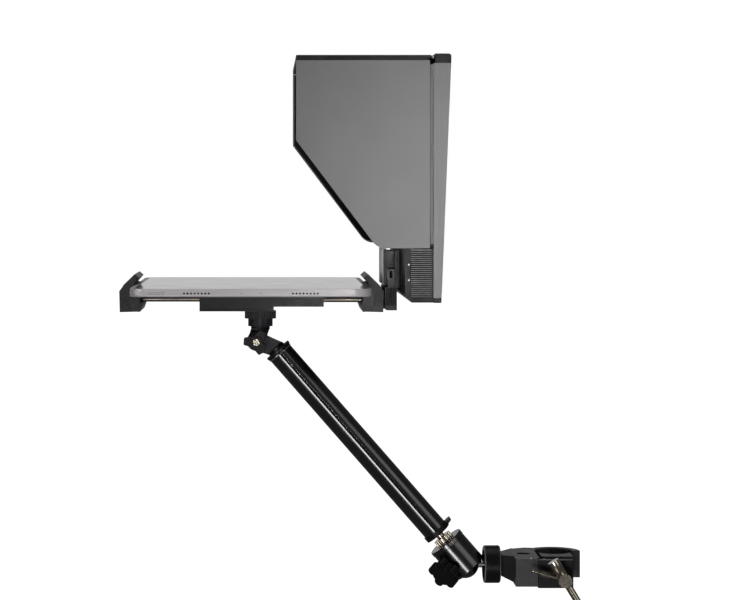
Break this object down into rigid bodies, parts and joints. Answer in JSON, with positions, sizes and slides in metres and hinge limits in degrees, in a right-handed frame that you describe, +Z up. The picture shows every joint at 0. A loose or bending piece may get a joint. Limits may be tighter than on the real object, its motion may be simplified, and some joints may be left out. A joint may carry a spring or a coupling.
{
  "type": "teleprompter",
  "caption": "Folding teleprompter hood for a camera lens, with a tilted glass, a sprung tablet tray, a swivelling support arm, a ball head and a column clamp.",
  "frame": {"origin": "on the lens axis, at the back of the hood frame, where the lens ring's spigot leaves it", "axes": "+X along the lens axis towards the camera, +Z up, the talent looks in from -X, -Y is the operator's left"},
  "size_m": [0.374, 0.2479, 0.4492],
  "materials": {
    "frame_grey": "satin grey",
    "black_plastic": "fine matte black",
    "flap_grey": "fine satin grain",
    "lining_black": "flocked black",
    "glass": "half-silvered coating",
    "steel": "bright",
    "rubber": "matte",
    "plate_light": "light satin",
    "jaw_plastic": "textured dark grey",
    "brass": "plain",
    "tablet_metal": "fine blasted",
    "screen_glass": "gloss",
    "black_anodised": "gloss black",
    "clamp_cast": "dark cast, satin",
    "chrome": "polished"
  },
  "bodies": {
    "hood": {"rear_frame": "frame_grey", "top_rail": "black_plastic", "bottom_rail": "black_plastic", "front_bezel": "black_plastic", "hood_fasteners": "steel", "ring_gasket": "rubber", "base_housing": "black_plastic", "side_grips": "jaw_plastic", "bracket_base": "black_plastic", "hinge_block": "black_plastic"},
    "lens_ring": {"adapter_ring": "black_anodised"},
    "latch_left_body": {"latch_left": "black_plastic"},
    "latch_right_body": {"latch_right": "black_plastic"},
    "top_flap_body": {"top_flap": "black_plastic", "top_flap_lining": "lining_black"},
    "left_flap_body": {"left_flap": "flap_grey", "left_flap_lining": "lining_black"},
    "right_flap_body": {"right_flap": "flap_grey", "right_flap_lining": "lining_black"},
    "glass_body": {"glass_frame": "black_plastic", "beam_splitter_glass": "glass"},
    "phone_plate_body": {"phone_plate": "black_plastic", "plate_face": "plate_light"},
    "tray": {"rear_jaw": "jaw_plastic", "rear_jaw_pad": "rubber", "rear_rods": "steel"},
    "tray_core": {"centre_block": "black_plastic", "thread_insert": "brass", "jaw_springs": "steel"},
    "front_jaw_body": {"front_jaw": "jaw_plastic", "front_jaw_pad": "rubber", "front_rods": "steel"},
    "tablet": {"tablet_shell": "tablet_metal", "tablet_screen": "screen_glass"},
    "power_button_body": {"power_button": "tablet_metal"},
    "volume_rocker_body": {"volume_rocker": "tablet_metal"},
    "arm_top": {"arm_head": "black_anodised", "arm_screw": "steel"},
    "collar": {"lock_collar": "black_plastic"},
    "tilt_lock": {"tilt_knob": "black_plastic", "tilt_bolt": "chrome"},
    "arm": {"lower_knuckle": "black_anodised", "tilt_nut": "steel", "arm_tube": "black_anodised", "bottom_cap": "black_plastic", "lower_stud": "chrome"},
    "nut": {"stud_nut": "chrome"},
    "ball_head": {"ball_collar": "black_anodised", "ball_housing": "black_anodised"},
    "ball_lock": {"ball_knob": "black_plastic", "ball_knob_screw": "chrome"},
    "ball_tilt_carrier": {"ball_stem": "chrome"},
    "wheel": {"lock_wheel": "black_plastic"},
    "clamp": {"clamp_body": "clamp_cast", "clamp_block": "black_plastic", "clamp_pads": "rubber"},
    "jaw": {"clamp_jaw": "clamp_cast", "clamp_jaw_pad": "rubber"},
    "lever": {"clamp_screw": "chrome", "clamp_lever": "chrome"}
  },
  "joints": [
    {"name": "lens_ring_turn", "type": "hinge", "parent": "hood", "child": "lens_ring", "pos_m": [0, 0, 0], "axis": [1, 0, 0], "continuous": true},
    {"name": "latch_left_slide", "type": "slide", "parent": "hood", "child": "latch_left_body", "axis": [0, -1, 0], "range_m": [0, 0.003], "stiffness_N_per_m": 300, "springref_m": -0.003},
    {"name": "latch_right_slide", "type": "slide", "parent": "hood", "child": "latch_right_body", "axis": [0, 1, 0], "range_m": [0, 0.003], "stiffness_N_per_m": 300, "springref_m": -0.003},
    {"name": "top_flap_hinge", "type": "hinge", "parent": "hood", "child": "top_flap_body", "pos_m": [-0.01, 0, 0.0808], "axis": [0, 1, 0], "range_deg": [0, 90]},
    {"name": "left_flap_hinge", "type": "hinge", "parent": "hood", "child": "left_flap_body", "pos_m": [-0.0113, -0.1049, 0], "axis": [0, 0, 1], "range_deg": [0, 90]},
    {"name": "right_flap_hinge", "type": "hinge", "parent": "hood", "child": "right_flap_body", "pos_m": [-0.0113, 0.1049, 0], "axis": [0, 0, -1], "range_deg": [0, 90]},
    {"name": "glass_hinge", "type": "hinge", "parent": "hood", "child": "glass_body", "pos_m": [-0.017, 0, -0.054], "axis": [0, 1, 0], "range_deg": [0, 45]},
    {"name": "phone_plate_hinge", "type": "hinge", "parent": "hood", "child": "phone_plate_body", "pos_m": [-0.0422, 0, -0.0893], "axis": [0, -1, 0], "range_deg": [0, 35]},
    {"name": "tray_hinge", "type": "hinge", "parent": "hood", "child": "tray", "pos_m": [-0.0402, 0, -0.1086], "axis": [0, -1, 0], "range_deg": [0, 30]},
    {"name": "core_slide", "type": "slide", "parent": "tray", "child": "tray_core", "axis": [-1, 0, 0], "range_m": [0, 0.025], "stiffness_N_per_m": 200, "springref_m": -0.06},
    {"name": "front_jaw_slide", "type": "slide", "parent": "tray_core", "child": "front_jaw_body", "axis": [-1, 0, 0], "range_m": [0, 0.045], "stiffness_N_per_m": 200, "springref_m": -0.03, "deforming": ["jaw_springs"]},
    {"name": "tablet_slide", "type": "slide", "parent": "tray", "child": "tablet", "axis": [0, -1, 0], "range_m": [-0.04, 0.04]},
    {"name": "power_button_press", "type": "slide", "parent": "tablet", "child": "power_button_body", "axis": [0, 1, 0], "range_m": [0, 0.0003], "stiffness_N_per_m": 900, "springref_m": -0.0003},
    {"name": "volume_rocker_tip", "type": "hinge", "parent": "tablet", "child": "volume_rocker_body", "pos_m": [-0.234, -0.096, -0.09385], "axis": [0, 0, 1], "range_deg": [-1, 1], "stiffness_Nm_per_rad": 0.05},
    {"name": "arm_swivel", "type": "hinge", "parent": "tray_core", "child": "arm_top", "pos_m": [-0.1384, 0, -0.118], "axis": [0, 0, 1], "range_deg": [-90, 90]},
    {"name": "collar_turn", "type": "hinge", "parent": "arm_top", "child": "collar", "pos_m": [-0.1384, 0, -0.115], "axis": [0, 0, 1], "continuous": true},
    {"name": "arm_tilt", "type": "hinge", "parent": "arm_top", "child": "arm", "pos_m": [-0.1416, 0, -0.1363], "axis": [0, 1, 0], "range_deg": [-30, 60]},
    {"name": "tilt_knob_turn", "type": "hinge", "parent": "arm_top", "child": "tilt_lock", "pos_m": [-0.1416, 0, -0.1363], "axis": [0, 1, 0], "continuous": true},
    {"name": "stud_nut_turn", "type": "hinge", "parent": "arm", "child": "nut", "pos_m": [0.00515, 0, -0.2918], "axis": [0.6587, 0, -0.7524], "continuous": true},
    {"name": "ball_head_pan", "type": "hinge", "parent": "arm", "child": "ball_head", "pos_m": [0.0093, 0, -0.29653], "axis": [0.6587, 0, -0.7524], "range_deg": [-180, 180]},
    {"name": "ball_knob_turn", "type": "hinge", "parent": "ball_head", "child": "ball_lock", "pos_m": [0.00786, -0.0118, -0.31348], "axis": [-0.5417, -0.694, -0.4742], "continuous": true},
    {"name": "ball_tilt", "type": "hinge", "parent": "ball_head", "child": "ball_tilt_carrier", "pos_m": [0.022, 0, -0.3115], "axis": [0, 1, 0], "range_deg": [-5, 60]},
    {"name": "lock_wheel_turn", "type": "hinge", "parent": "ball_tilt_carrier", "child": "wheel", "pos_m": [0.045, 0, -0.3115], "axis": [1, 0, 0], "continuous": true},
    {"name": "clamp_spin", "type": "hinge", "parent": "ball_tilt_carrier", "child": "clamp", "pos_m": [0.055, 0, -0.3115], "axis": [1, 0, 0], "range_deg": [-180, 180]},
    {"name": "clamp_jaw_slide", "type": "slide", "parent": "clamp", "child": "jaw", "axis": [0, -1, 0], "range_m": [-0.005, 0.008]},
    {"name": "clamp_lever_turn", "type": "hinge", "parent": "jaw", "child": "lever", "pos_m": [0.0934, -0.056, -0.315], "axis": [0, -1, 0], "range_deg": [-900, 1440]}
  ],
  "couplings": [
    {"joint": "clamp_jaw_slide", "follows": "clamp_lever_turn", "m_per_rad": 0.00031831}
  ]
}
